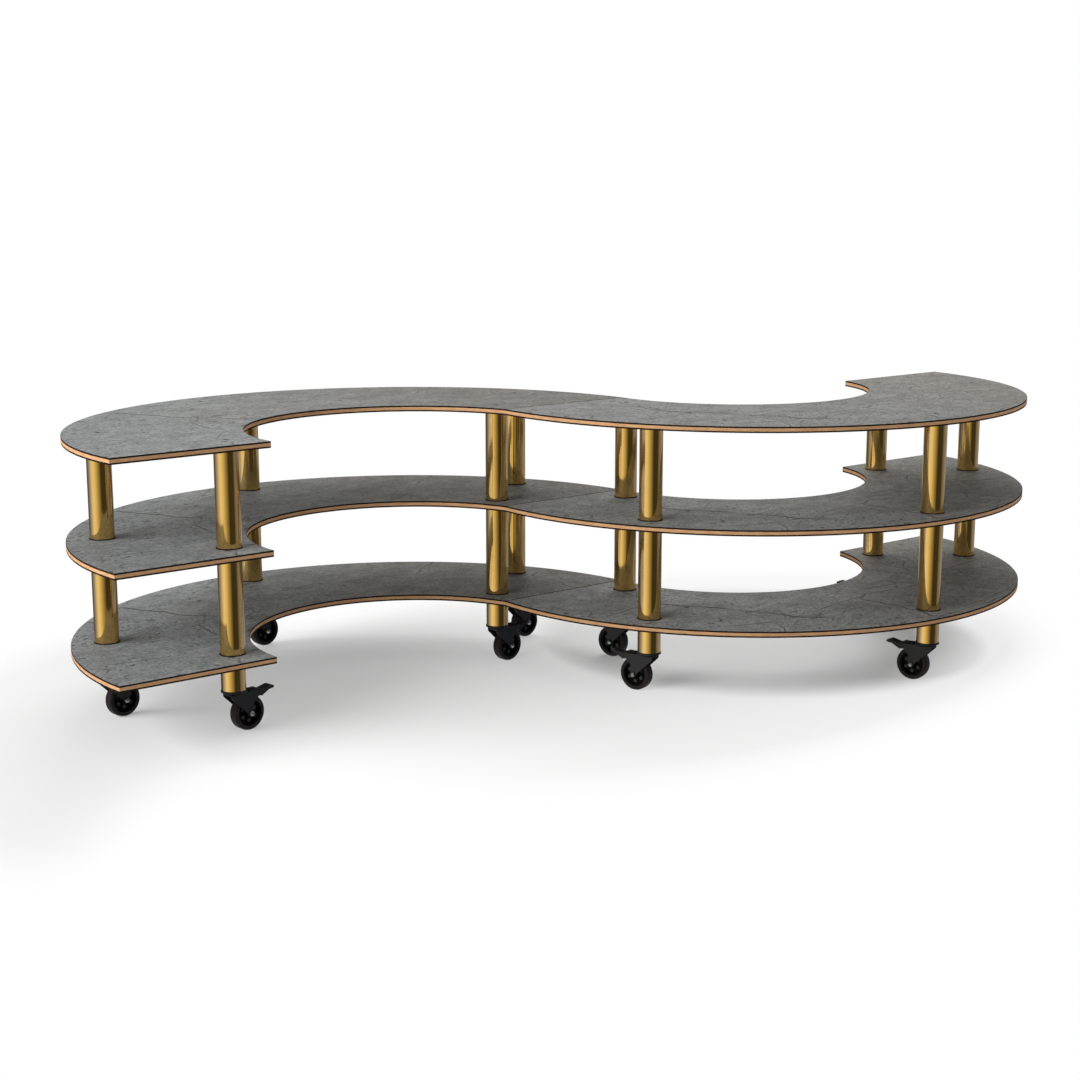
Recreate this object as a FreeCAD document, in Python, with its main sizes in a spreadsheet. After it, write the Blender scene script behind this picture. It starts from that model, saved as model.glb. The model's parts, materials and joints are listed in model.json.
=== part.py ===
import FreeCAD, Part
import os
import re
import Sketcher

# Driving dimensions in millimetres, angles in degrees
dimensions = {
    # shelf plates
    "outer_radius": 1018,
    "inner_radius": 502,
    "inner_arc_drop": 54,
    "end_offset": 74,
    "joint_gap": 0.4,
    "core_thickness": 10,
    "facing_thickness": 5,
    "shelf_pitch": 327,
    # posts and what clamps them
    "post_diameter": 76,
    "post_wall": 2,
    "outer_post_inset": 109,
    "inner_post_inset": 80,
    "outer_post_angle": 27.3,
    "end_post_inset": 117,
    "leg_length": 90,
    "gasket_overhang": 2,
    "gasket_width": 8,
    "gasket_thickness": 3,
    "rod_diameter": 12,
    "rod_clearance": 0.5,
    "rod_engagement": 14,
    "head_diameter": 16,
    "head_clearance": 0.2,
    "head_recess": 0.2,
    "socket_across": 8,
    "socket_depth": 3,
    "plug_flange": 3,
    "plug_gap": 5,
    "plug_clearance": 0.1,
    "thread_clearance": 0.05,
    # caster swivel
    "plate_overhang": 2,
    "plate_thickness": 4,
    "race_diameter": 55,
    "race_depth": 5.6,
    "race_chamfer": 2,
    "swivel_gap": 0.4,
    "stem_diameter": 12,
    "stem_engagement": 13,
    "stem_head_diameter": 22,
    "stem_head_thickness": 5,
    "running_clearance": 0.05,
    "left_heading": 5,
    "right_heading": 106,
    # caster fork
    "trail": 46,
    "wheel_headroom": 10,
    "crown_thickness": 4,
    "fork_clearance": 4,
    "fork_thickness": 3.5,
    "fork_front": 24,
    "fork_lip": 7,
    "fork_boss": 10,
    "fork_waist": 32,
    "fork_round": 11,
    "fork_shoulder": 13,
    "fork_reach": 37,
    "bridge_end": 40,
    "axle_diameter": 12,
    "axle_head_diameter": 14,
    "axle_head_thickness": 4,
    # caster wheel
    "wheel_diameter": 109,
    "wheel_width": 32,
    "tyre_depth": 13,
    "tyre_shoulder": 6,
    "tyre_groove": 1,
    "hub_boss_diameter": 28,
    "hub_side_play": 0.5,
    "rim_width": 28,
    "rim_depth": 6,
    "web_thickness": 12,
    "hub_hole_diameter": 9,
    # brake pedal
    "pivot_back": 22,
    "pivot_rise": 7,
    "pivot_diameter": 8,
    "pedal_side_play": 2,
    "pedal_heel": 13,
    "pedal_wall": 4,
    "pedal_hump": 1,
    "pedal_hump_front": 4,
    "pedal_hump_length": 10,
    "pedal_dip_back": 12,
    "pedal_dip": 2.5,
    "pedal_length": 76,
    "pedal_crest_back": 16,
    "pedal_crest_rise": 6,
    "pedal_tip_rise": 5.5,
    "pedal_tip_thickness": 2.5,
    "pedal_belly_back": 26,
    "pedal_belly_drop": 6.5,
    "pedal_skirt": 16,
    "pedal_taper": 3,
    "pedal_round": 10,
    "shoe_front": 4,
    "shoe_length": 10,
    "shoe_depth": 26,
    "shoe_gap": 0.5,
    "brake_travel": 12,
}

hub_hole_count = 6

# Two places closer than this are the same when edges are picked
same_place = 0.01

doc = FreeCAD.newDocument("buffet_serving_station")
sheet = doc.addObject("Spreadsheet::Sheet", "sizes")
for row, (alias, amount) in enumerate(dimensions.items(), start=1):
    sheet.set(f"A{row}", alias.replace("_", " "))
    sheet.set(f"B{row}", str(amount))
    sheet.setAlias(f"B{row}", alias)
doc.recompute()


def formula(text):
    # the sheet's aliases are written bare in this file's formulas
    return re.sub(r"[a-z_]+", lambda word: f"sizes.{word[0]}" if word[0] in dimensions else word[0], text)


def number(text):
    return float(sheet.evalExpression(formula(text)))


def bind(item, bindings):
    for name, text in bindings.items():
        item.setExpression(name, formula(text))


def new_sketch(body, name, role, offsets=None):
    sketch = body.newObject("Sketcher::SketchObject", name)
    plane = next(item for item in body.Origin.OriginFeatures if item.Role == role)
    sketch.AttachmentSupport = [(plane, "")]
    sketch.MapMode = "FlatFace"
    for axis, text in (offsets or {}).items():
        bind(sketch, {f"AttachmentOffset.Base.{axis}": text})
    return sketch


def dimension(sketch, kind, geometry, text):
    index = sketch.addConstraint(Sketcher.Constraint(kind, *geometry, number(text)))
    bind(sketch, {f"Constraints[{index}]": text})


def polygon(sketch, corners):
    spots = [FreeCAD.Vector(number(x), number(y), 0) for x, y in corners]
    count = len(spots)
    first = sketch.GeometryCount
    for index in range(count):
        sketch.addGeometry(Part.LineSegment(spots[index], spots[(index + 1) % count]))
    for index, (x, y) in enumerate(corners):
        line = first + index
        following = first + (index + 1) % count
        sketch.addConstraint(Sketcher.Constraint("Coincident", line, 2, following, 1))
        dimension(sketch, "DistanceX", (-1, 1, line, 1), x)
        dimension(sketch, "DistanceY", (-1, 1, line, 1), y)


def circle(sketch, x, y, radius):
    centre = FreeCAD.Vector(number(x), number(y), 0)
    ring = sketch.addGeometry(Part.Circle(centre, FreeCAD.Vector(0, 0, 1), number(radius)))
    dimension(sketch, "Radius", (ring,), radius)
    dimension(sketch, "DistanceX", (-1, 1, ring, 3), x)
    dimension(sketch, "DistanceY", (-1, 1, ring, 3), y)


def pad(body, sketch, length, middle=False):
    feature = body.newObject("PartDesign::Pad", sketch.Name + "_pad")
    feature.Profile = sketch
    feature.Midplane = middle
    bind(feature, {"Length": length})
    doc.recompute()
    return feature


def pocket(body, sketch, depth=None):
    # a cut goes right through, both ways from its sketch, unless it has a depth
    before = body.Shape.Volume
    feature = body.newObject("PartDesign::Pocket", sketch.Name + "_pocket")
    feature.Profile = sketch
    if depth:
        bind(feature, {"Length": depth})
    else:
        feature.Type = "ThroughAll"
        feature.Midplane = True
    doc.recompute()
    if body.Shape.Volume >= before:
        raise SystemExit(f"{sketch.Name} cuts nothing")
    return feature


def fillet(body, base, edges, radius):
    names = [f"Edge{index}" for index, edge in enumerate(base.Shape.Edges, start=1) if edges(edge)]
    if not names:
        raise SystemExit(f"{body.Name} has no edge to round")
    feature = body.newObject("PartDesign::Fillet", f"{base.Name}_round")
    feature.Base = (base, names)
    bind(feature, {"Radius": radius})
    doc.recompute()
    return feature


def cross_edges(corners):
    # edges square to a side profile, at the given corners of it
    spots = [(number(x), number(z)) for x, z in corners]

    def chosen(edge):
        ends = [vertex.Point for vertex in edge.Vertexes]
        if len(ends) != 2 or abs(ends[0].y - ends[1].y) < same_place:
            return False
        return any(all(abs(end.x - x) + abs(end.z - z) < same_place for end in ends) for x, z in spots)

    return chosen


def turned(name, corners, centre=None):
    # a turned piece, upright about its own axis or lying across a caster at centre (x, z)
    body = doc.addObject("PartDesign::Body", name)
    if centre:
        sketch = new_sketch(body, name + "_profile", "YZ_Plane", {"y": centre[1], "z": centre[0]})
    else:
        sketch = new_sketch(body, name + "_profile", "XZ_Plane")
    polygon(sketch, corners)
    feature = body.newObject("PartDesign::Revolution", name + "_turn")
    feature.Profile = sketch
    feature.ReferenceAxis = (sketch, ["H_Axis" if centre else "V_Axis"])
    feature.Angle = 360
    doc.recompute()
    return body


def sleeve(name, inner, outer, low, high):
    return turned(name, [(inner, low), (outer, low), (outer, high), (inner, high)])


# Heights, from the floor up through a caster, a leg and the shelves
wheel_radius = "(wheel_diameter / 2)"
crown_bottom = "(wheel_diameter + wheel_headroom)"
crown_top = f"({crown_bottom} + crown_thickness)"
race_bottom = f"({crown_top} + swivel_gap)"
plate_bottom = f"({race_bottom} + race_depth)"
plate_top = f"({plate_bottom} + plate_thickness)"
leg_bottom = f"({plate_top} + plug_flange)"
leg_top = f"({leg_bottom} + leg_length)"
shelf_thickness = "(core_thickness + 2 * facing_thickness)"
levels = {
    "bottom": f"({leg_top} + {shelf_thickness})",
    "middle": f"({leg_top} + {shelf_thickness} + shelf_pitch)",
    "top": f"({leg_top} + {shelf_thickness} + 2 * shelf_pitch)",
}

# Plan: each unit is a half ring about its own centre, and the right one is the left one turned over
unit_shift = "((sqrt(inner_radius^2 - end_offset^2) + sqrt(outer_radius^2 - end_offset^2)) / 2)"
long_end = "(end_offset - joint_gap / 2)"
short_end = "(end_offset + joint_gap / 2)"
inner_arc_radius = "sqrt(inner_radius^2 + inner_arc_drop^2)"
inner_arc_x = "(inner_arc_drop * end_offset / inner_radius)"
inner_arc_y = "(-inner_arc_drop * sqrt(inner_radius^2 - end_offset^2) / inner_radius)"
outer_post_radius = "(outer_radius - outer_post_inset)"
inner_post_radius = "(inner_radius + inner_post_inset)"
side_x = f"({outer_post_radius} * cos(outer_post_angle))"
side_y = f"({outer_post_radius} * sin(outer_post_angle))"
long_y = "(end_post_inset - end_offset)"
short_y = "(end_post_inset + end_offset)"
post_places = [
    (f"-{side_x}", side_y),
    ("0", outer_post_radius),
    (side_x, side_y),
    (f"-sqrt({inner_post_radius}^2 - {long_y}^2)", long_y),
    (f"sqrt({inner_post_radius}^2 - {short_y}^2)", short_y),
]
units = {"left": ("-", "", "left_heading"), "right": ("", "-", "right_heading")}

# Caster: swivel axis on the post's axis, wheel trailing along its own +X
axle_place = ("trail", wheel_radius)
rim_radius = f"({wheel_radius} - tyre_depth)"
fork_gap = "(wheel_width + 2 * fork_clearance)"
fork_width = f"({fork_gap} + 2 * fork_thickness)"
pivot_x = "(trail + pivot_back)"
pivot_z = "(wheel_diameter + pivot_rise)"
pivot_drop = f"({wheel_radius} + pivot_rise)"


def shelf_plate(name, thickness, hole_radius):
    # an outer arc about the unit's centre and an inner arc through the inner corners of the two end cuts
    body = doc.addObject("PartDesign::Body", name)
    sketch = new_sketch(body, name + "_plan", "XY_Plane")
    ends = []
    for x, y, radius in (("0", "0", "outer_radius"), (inner_arc_x, inner_arc_y, inner_arc_radius)):
        start_x = number(f"{x} + sqrt({radius}^2 - ({short_end} - {y})^2)")
        finish_x = number(f"{x} - sqrt({radius}^2 - ({long_end} + {y})^2)")
        start = FreeCAD.Vector(start_x, number(short_end), 0)
        crown = FreeCAD.Vector(number(x), number(f"{y} + {radius}"), 0)
        finish = FreeCAD.Vector(finish_x, -number(long_end), 0)
        arc = sketch.addGeometry(Part.Arc(start, crown, finish))
        dimension(sketch, "DistanceX", (-1, 1, arc, 3), x)
        dimension(sketch, "DistanceY", (-1, 1, arc, 3), y)
        dimension(sketch, "Radius", (arc,), radius)
        ends.append((arc, start, finish))
    (outer, outer_start, outer_finish), (inner, inner_start, inner_finish) = ends
    cuts = [(1, outer_start, inner_start, short_end), (2, outer_finish, inner_finish, f"-{long_end}")]
    for position, near, far, height in cuts:
        line = sketch.addGeometry(Part.LineSegment(near, far))
        sketch.addConstraint(Sketcher.Constraint("Coincident", line, 1, outer, position))
        sketch.addConstraint(Sketcher.Constraint("Coincident", line, 2, inner, position))
        sketch.addConstraint(Sketcher.Constraint("Horizontal", line))
        dimension(sketch, "DistanceY", (-1, 1, line, 1), height)
    for x, y in post_places:
        circle(sketch, x, y, hole_radius)
    pad(body, sketch, thickness)
    return body


def fork_bracket():
    # side plates cut from one bent blank: round crown, tapered legs, open behind for the pedal
    body = doc.addObject("PartDesign::Body", "fork_bracket")
    waist = ("trail + fork_boss", f"{wheel_radius} + fork_waist")
    brow = ("-fork_front", f"{crown_bottom} - fork_lip")
    side = new_sketch(body, "fork_side", "XZ_Plane")
    polygon(side, [
        ("-fork_front", crown_top),
        brow,
        ("trail - fork_boss", wheel_radius),
        ("trail + fork_boss", wheel_radius),
        waist,
        ("trail + fork_reach - fork_shoulder / 2", f"{crown_bottom} - fork_shoulder"),
        ("trail + fork_reach", crown_top),
    ])
    blank = pad(body, side, fork_width, middle=True)
    fillet(body, blank, cross_edges([waist, brow]), "fork_round")
    boss = new_sketch(body, "fork_boss_end", "XZ_Plane")
    circle(boss, "trail", wheel_radius, "fork_boss")
    pad(body, boss, fork_width, middle=True)
    crown = new_sketch(body, "fork_crown", "XY_Plane", {"z": crown_bottom})
    circle(crown, "0", "0", "race_diameter / 2")
    pad(body, crown, "crown_thickness")
    slot = new_sketch(body, "fork_slot", "YZ_Plane")
    polygon(slot, [
        (f"-{fork_gap} / 2", "0"),
        (f"{fork_gap} / 2", "0"),
        (f"{fork_gap} / 2", crown_bottom),
        (f"-{fork_gap} / 2", crown_bottom),
    ])
    pocket(body, slot)
    rear = new_sketch(body, "fork_rear_opening", "XY_Plane")
    polygon(rear, [
        ("bridge_end", f"-{fork_gap} / 2"),
        ("trail + fork_reach + fork_shoulder", f"-{fork_gap} / 2"),
        ("trail + fork_reach + fork_shoulder", f"{fork_gap} / 2"),
        ("bridge_end", f"{fork_gap} / 2"),
    ])
    pocket(body, rear)
    stem_hole = new_sketch(body, "fork_stem_hole", "XY_Plane")
    circle(stem_hole, "0", "0", "stem_diameter / 2 + running_clearance")
    pocket(body, stem_hole)
    pins = new_sketch(body, "fork_pin_holes", "XZ_Plane")
    circle(pins, "trail", wheel_radius, "axle_diameter / 2 + running_clearance")
    circle(pins, pivot_x, pivot_z, "pivot_diameter / 2 + running_clearance")
    pocket(body, pins)
    return body


def wheel_core():
    # moulded centre: hub boss, thin web with holes, and the rim that the tyre sits on
    boss_half = f"({fork_gap} / 2 - hub_side_play)"
    boss_radius = "(hub_boss_diameter / 2)"
    rim_inner = f"({rim_radius} - rim_depth)"
    right = [
        ("rim_width / 2", rim_radius),
        ("rim_width / 2", rim_inner),
        ("web_thickness / 2", rim_inner),
        ("web_thickness / 2", boss_radius),
        (boss_half, boss_radius),
        (boss_half, "axle_diameter / 2 + running_clearance"),
    ]
    left = [(f"-({y})", r) for y, r in reversed(right)]
    body = turned("wheel_core", right + left, axle_place)
    holes = new_sketch(body, "wheel_core_hole", "XZ_Plane", {"x": "trail", "y": wheel_radius})
    circle(holes, "0", f"({rim_inner} + {boss_radius}) / 2", "hub_hole_diameter / 2")
    cut = pocket(body, holes)
    pattern = body.newObject("PartDesign::PolarPattern", "wheel_core_holes")
    pattern.Originals = [cut]
    pattern.Axis = (holes, ["N_Axis"])
    pattern.Angle = 360
    pattern.Occurrences = hub_hole_count
    body.Tip = pattern
    doc.recompute()
    return body


def wheel_tyre():
    # a fine groove runs round each side wall
    inner = f"({rim_radius} + running_clearance)"
    right = [
        ("wheel_width / 2", wheel_radius),
        ("wheel_width / 2", f"{inner} + 4 * tyre_groove"),
        ("wheel_width / 2 - tyre_groove", f"{inner} + 3 * tyre_groove"),
        ("wheel_width / 2", f"{inner} + 2 * tyre_groove"),
        ("wheel_width / 2", inner),
    ]
    left = [(f"-({y})", r) for y, r in reversed(right)]
    body = turned("wheel_tyre", right + left, axle_place)
    tread = number(wheel_radius)

    def shoulder(edge):
        return isinstance(edge.Curve, Part.Circle) and abs(edge.Curve.Radius - tread) < same_place

    fillet(body, body.Tip, shoulder, "tyre_shoulder")
    return body


def brake_pedal():
    # a foot lever on a cross pin, its shoe cut to lie along the tread when the lever is down
    def spot(x, z):
        return (f"{pivot_x} + {x}", f"{pivot_z} + {z}")

    body = doc.addObject("PartDesign::Body", "brake_pedal")
    under_pin = "(pivot_diameter / 2 + pedal_wall)"
    hump_end = "(pedal_hump_front + pedal_hump_length)"
    brow = spot("pedal_hump_front", f"{under_pin} + pedal_hump")
    nape = spot(hump_end, f"{under_pin} + pedal_hump")
    dip = spot(f"{hump_end} + pedal_dip_back", "pedal_dip")
    crest = spot("pedal_length - pedal_crest_back", "pedal_tip_rise + pedal_crest_rise")
    belly = spot("pedal_length - pedal_belly_back", "pedal_tip_rise - pedal_belly_drop")
    side = new_sketch(body, "pedal_side", "XZ_Plane")
    polygon(side, [
        spot("-pedal_heel", "-pedal_wall"),
        spot("-pedal_heel", "pedal_wall"),
        brow,
        nape,
        dip,
        crest,
        spot("pedal_length", "pedal_tip_rise"),
        spot("pedal_length", "pedal_tip_rise - pedal_tip_thickness"),
        belly,
        spot("shoe_front + shoe_length + 2 * pedal_wall", "-pedal_skirt"),
        spot("shoe_front + shoe_length", "pedal_wall - pedal_skirt"),
        spot("shoe_front + shoe_length", "-shoe_depth"),
        spot("shoe_front", "-shoe_depth"),
        spot("shoe_front", f"-{under_pin}"),
    ])
    root_half = f"({fork_gap} / 2 - pedal_side_play)"
    blank = pad(body, side, f"2 * {root_half}", middle=True)
    fillet(body, blank, cross_edges([brow, nape, dip, crest, belly]), "pedal_round")
    plan = new_sketch(body, "pedal_plan", "XY_Plane")
    taper_x = "(trail + fork_reach)"
    tip_x = f"({pivot_x} + pedal_length)"
    end_x = f"({tip_x} + pedal_heel)"
    wide = f"({root_half} + pedal_heel)"
    for side_sign in ("", "-"):
        polygon(plan, [
            (taper_x, f"{side_sign}{root_half}"),
            (end_x, f"{side_sign}({root_half} - pedal_taper)"),
            (end_x, f"{side_sign}{wide}"),
            (taper_x, f"{side_sign}{wide}"),
        ])
    outline = pocket(body, plan)
    tip_half = f"({root_half} - pedal_taper * ({tip_x} - {taper_x}) / ({end_x} - {taper_x}))"
    tip_place = (number(tip_x), number(tip_half))

    def tip_corner(edge):
        ends = [vertex.Point for vertex in edge.Vertexes]
        if abs(ends[0].y - ends[-1].y) > same_place:
            return False
        return all(abs(end.x - tip_place[0]) + abs(abs(end.y) - tip_place[1]) < same_place for end in ends)

    fillet(body, outline, tip_corner, f"{tip_half} * 0.85")
    shoe = new_sketch(body, "pedal_shoe", "XZ_Plane")
    # the wheel's centre as the lever sees it when it is down
    circle(shoe,
           f"{pivot_x} - pivot_back * cos(brake_travel) + {pivot_drop} * sin(brake_travel)",
           f"{pivot_z} - pivot_back * sin(brake_travel) - {pivot_drop} * cos(brake_travel)",
           f"{wheel_radius} + shoe_gap")
    pocket(body, shoe)
    bore = new_sketch(body, "pedal_bore", "XZ_Plane")
    circle(bore, pivot_x, pivot_z, "pivot_diameter / 2 + running_clearance")
    pocket(body, bore)
    return body


def instance(master, name, x="0", y="0", z="0"):
    link = doc.addObject("App::Link", name)
    link.LinkedObject = master
    bind(link, {"Placement.Base.x": x, "Placement.Base.y": y, "Placement.Base.z": z})
    return link


nodes = []


def node(label, pieces):
    group = doc.addObject("Part::Compound", label)
    group.Label = label
    group.Links = pieces
    nodes.append(group)


# Pieces of one post, about the post's own axis
post_outer = "(post_diameter / 2)"
post_inner = "(post_diameter / 2 - post_wall)"
gasket_outer = "(post_diameter / 2 + gasket_overhang)"
gasket_inner = f"({gasket_outer} - gasket_width)"
rod_radius = "(rod_diameter / 2)"
stem_seat = f"({plate_top} + stem_engagement)"
rod_bottom = f"({stem_seat} + plug_gap)"
plug_top = f"({rod_bottom} + rod_engagement)"
head_bottom = f"({levels['top']} - facing_thickness)"
head_top = f"({levels['top']} - head_recess)"
posts = {}
gaskets = []
for name, low, high in (("lower", "bottom", "middle"), ("upper", "middle", "top")):
    floor = levels[low]
    foot = f"({floor} + gasket_thickness)"
    ceiling = f"({levels[high]} - {shelf_thickness})"
    posts[name] = sleeve(f"{name}_post", post_inner, post_outer, foot, ceiling)
    gaskets.append(sleeve(f"{name}_gasket", gasket_inner, gasket_outer, floor, foot))
gasket_pair = doc.addObject("Part::Compound", "gasket_pair")
gasket_pair.Links = gaskets
leg_tube = sleeve("leg_tube", post_inner, post_outer, leg_bottom, leg_top)
tie_rod = turned("tie_rod", [
    ("0", rod_bottom),
    (rod_radius, rod_bottom),
    (rod_radius, head_bottom),
    ("head_diameter / 2", head_bottom),
    ("head_diameter / 2", head_top),
    ("0", head_top),
])
socket = new_sketch(tie_rod, "tie_rod_socket", "XY_Plane", {"z": head_top})
polygon(socket, [(f"socket_across / sqrt(3) * cos({turn})", f"socket_across / sqrt(3) * sin({turn})")
                 for turn in range(0, 360, 60)])
pocket(tie_rod, socket, "socket_depth")
thread_radius = f"({rod_radius} + thread_clearance)"
foot_plug = turned("foot_plug", [
    ("stem_diameter / 2 + thread_clearance", plate_top),
    (post_outer, plate_top),
    (post_outer, leg_bottom),
    (f"{post_inner} - plug_clearance", leg_bottom),
    (f"{post_inner} - plug_clearance", plug_top),
    (thread_radius, plug_top),
    (thread_radius, rod_bottom),
    ("stem_diameter / 2 + thread_clearance", stem_seat),
])

# Pieces of one caster
caster_plate = turned("caster_plate", [
    ("stem_diameter / 2 + running_clearance", race_bottom),
    ("race_diameter / 2 - race_chamfer", race_bottom),
    ("race_diameter / 2", f"{race_bottom} + race_chamfer"),
    ("race_diameter / 2", plate_bottom),
    (f"{post_outer} + plate_overhang", plate_bottom),
    (f"{post_outer} + plate_overhang", plate_top),
    ("stem_diameter / 2 + running_clearance", plate_top),
])
stem_head_top = f"({crown_bottom} - swivel_gap)"
caster_stem = turned("caster_stem", [
    ("0", f"{stem_head_top} - stem_head_thickness"),
    ("stem_head_diameter / 2", f"{stem_head_top} - stem_head_thickness"),
    ("stem_head_diameter / 2", stem_head_top),
    ("stem_diameter / 2", stem_head_top),
    ("stem_diameter / 2", stem_seat),
    ("0", stem_seat),
])
axle_end = f"({fork_width} / 2 + axle_head_thickness)"
axle_bolt = turned("axle_bolt", [
    (f"-{axle_end}", "0"),
    (f"-{axle_end}", "axle_head_diameter / 2"),
    (f"-{fork_width} / 2", "axle_head_diameter / 2"),
    (f"-{fork_width} / 2", "axle_diameter / 2"),
    (f"{fork_width} / 2", "axle_diameter / 2"),
    (f"{fork_width} / 2", "axle_head_diameter / 2"),
    (axle_end, "axle_head_diameter / 2"),
    (axle_end, "0"),
], axle_place)
pivot_pin = turned("pivot_pin", [
    (f"-{fork_width} / 2", "0"),
    (f"-{fork_width} / 2", "pivot_diameter / 2"),
    (f"{fork_width} / 2", "pivot_diameter / 2"),
    (f"{fork_width} / 2", "0"),
], (pivot_x, pivot_z))
fork_set = doc.addObject("Part::Compound", "fork_set")
fork_set.Links = [fork_bracket(), axle_bolt, pivot_pin]
caster_pieces = {"fork": fork_set, "wheel_core": wheel_core(), "tyre": wheel_tyre(), "pedal": brake_pedal()}

# Every post of both units, with its caster turned to its unit's heading
post_pieces = {
    "upper_posts": posts["upper"],
    "lower_posts": posts["lower"],
    "leg_tubes": leg_tube,
    "post_gaskets": gasket_pair,
    "tie_rods": tie_rod,
    "foot_plugs": foot_plug,
    "caster_plates": caster_plate,
    "caster_stems": caster_stem,
}
post_copies = {label: [] for label in post_pieces}
upright = FreeCAD.Vector(0, 0, 1)
caster = 0
for shift, flip, heading in units.values():
    for x, y in post_places:
        caster += 1
        place = (f"{shift}{unit_shift} + {x}", f"{flip}({y})")
        for label, master in post_pieces.items():
            post_copies[label].append(instance(master, f"{label}_{caster:02d}", *place))
        for label, master in caster_pieces.items():
            copy = instance(master, f"{label}_{caster:02d}_turned", *place)
            copy.Placement.Rotation = FreeCAD.Rotation(upright, number(heading))
            bind(copy, {"Placement.Rotation.Angle": heading})
            node(f"caster_{caster:02d}_{label}", [copy])
for label, copies in post_copies.items():
    node(label, copies)

# Shelves: the plates of the right unit are the left unit's, turned over about the long axis
hole_radius = f"({rod_radius} + rod_clearance)"
core = shelf_plate("core_plate", "core_thickness", hole_radius)
facing = shelf_plate("facing_plate", "facing_thickness", hole_radius)
top_facing = shelf_plate("top_facing_plate", "facing_thickness", "head_diameter / 2 + head_clearance")
for unit, (shift, flip, heading) in units.items():

    def plate(master, name, low, thickness):
        base = f"{low} + {thickness}" if flip else low
        copy = instance(master, f"{unit}_{name}", f"{shift}{unit_shift}", "0", base)
        if flip:
            copy.Placement.Rotation = FreeCAD.Rotation(FreeCAD.Vector(1, 0, 0), 180)
        return copy

    upper = []
    lower = []
    for tier, level in levels.items():
        face = top_facing if tier == "top" else facing
        core_top = f"{level} - facing_thickness"
        core_low = f"{core_top} - core_thickness"
        face_low = f"{core_low} - facing_thickness"
        upper.append(plate(face, f"{tier}_upper_facing", core_top, "facing_thickness"))
        lower.append(plate(facing, f"{tier}_lower_facing", face_low, "facing_thickness"))
        node(f"{unit}_{tier}_shelf_core", [plate(core, f"{tier}_core", core_low, "core_thickness")])
    node(f"{unit}_upper_facings", upper)
    node(f"{unit}_lower_facings", lower)

doc.recompute()
for item in doc.Objects:
    if {"Invalid", "Error"} & set(item.State):
        raise SystemExit(f"{item.Label} failed: {item.State}")
for group in nodes:
    if group.Shape.isNull() or not group.Shape.isValid():
        raise SystemExit(f"{group.Label} has no valid shape")
os.makedirs("parts", exist_ok=True)
for group in nodes:
    group.Shape.exportStep(f"parts/{group.Label}.step")
print(len(nodes), "sub-parts,", sum(len(group.Shape.Solids) for group in nodes), "solids")
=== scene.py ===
import json
import math

import bpy
from mathutils import Matrix, Vector


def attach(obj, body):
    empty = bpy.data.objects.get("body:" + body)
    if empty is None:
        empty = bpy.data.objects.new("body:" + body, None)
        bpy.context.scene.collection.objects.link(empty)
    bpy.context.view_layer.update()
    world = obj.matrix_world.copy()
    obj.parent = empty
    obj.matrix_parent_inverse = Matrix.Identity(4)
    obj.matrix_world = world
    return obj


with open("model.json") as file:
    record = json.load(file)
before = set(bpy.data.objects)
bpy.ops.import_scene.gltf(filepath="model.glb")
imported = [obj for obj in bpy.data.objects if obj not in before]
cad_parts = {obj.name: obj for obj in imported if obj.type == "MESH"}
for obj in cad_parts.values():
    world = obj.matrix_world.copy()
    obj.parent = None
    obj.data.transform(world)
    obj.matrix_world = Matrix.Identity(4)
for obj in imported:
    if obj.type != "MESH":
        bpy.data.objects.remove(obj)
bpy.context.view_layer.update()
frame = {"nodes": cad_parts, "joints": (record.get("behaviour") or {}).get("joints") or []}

nodes = frame["nodes"]
casters = [f"caster_{number:02d}" for number in range(1, 11)]
joints = {joint["name"]: joint for joint in frame["joints"]}


# node graph shorthand

def setInput(tree, socket, value):
    if isinstance(value, bpy.types.NodeSocket):
        tree.links.new(value, socket)
    else:
        socket.default_value = value


def addNode(tree, kind, inputs=None, **settings):
    node = tree.nodes.new("ShaderNode" + kind)
    for key, value in settings.items():
        setattr(node, key, value)
    for key, value in (inputs or {}).items():
        setInput(tree, node.inputs[key], value)
    return node


def mixColor(tree, factor, first, second, blend="MIX"):
    node = addNode(tree, "Mix", data_type="RGBA", blend_type=blend)
    for index, value in ((0, factor), (6, first), (7, second)):
        setInput(tree, node.inputs[index], value)
    return node.outputs[2]


def calc(tree, operation, first, second=0.0):
    return addNode(tree, "Math", {0: first, 1: second}, operation=operation).outputs[0]


def ramp(tree, value, low, high, bottom=0.0, top=1.0):
    node = addNode(tree, "MapRange", {"Value": value, "From Min": low, "From Max": high,
                                      "To Min": bottom, "To Max": top}, interpolation_type="SMOOTHSTEP")
    return node.outputs["Result"]


def noise(tree, place, scale, detail=4.0, roughness=0.55, distortion=0.0):
    return addNode(tree, "TexNoise", {"Vector": place, "Scale": scale, "Detail": detail,
                                      "Roughness": roughness, "Distortion": distortion}).outputs[0]


def objectPlace(tree, stretch=(1, 1, 1), shift=(0, 0, 0)):
    place = addNode(tree, "TexCoord").outputs["Object"]
    return addNode(tree, "Mapping", {"Vector": place, "Location": shift, "Scale": stretch}).outputs[0]


def gray(value):
    return (value, value, value, 1)


def newGroup(name, inputs, outputs):
    group = bpy.data.node_groups.new(name, "ShaderNodeTree")
    for label, kind, value in inputs:
        socket = group.interface.new_socket(label, in_out="INPUT", socket_type="NodeSocket" + kind)
        socket.default_value = value
    for label, kind in outputs:
        group.interface.new_socket(label, in_out="OUTPUT", socket_type="NodeSocket" + kind)
    return group, group.nodes.new("NodeGroupInput").outputs, group.nodes.new("NodeGroupOutput").inputs


def useGroup(tree, group, inputs):
    node = tree.nodes.new("ShaderNodeGroup")
    node.node_tree = group
    for key, value in inputs.items():
        setInput(tree, node.inputs[key], value)
    return node.outputs


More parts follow.
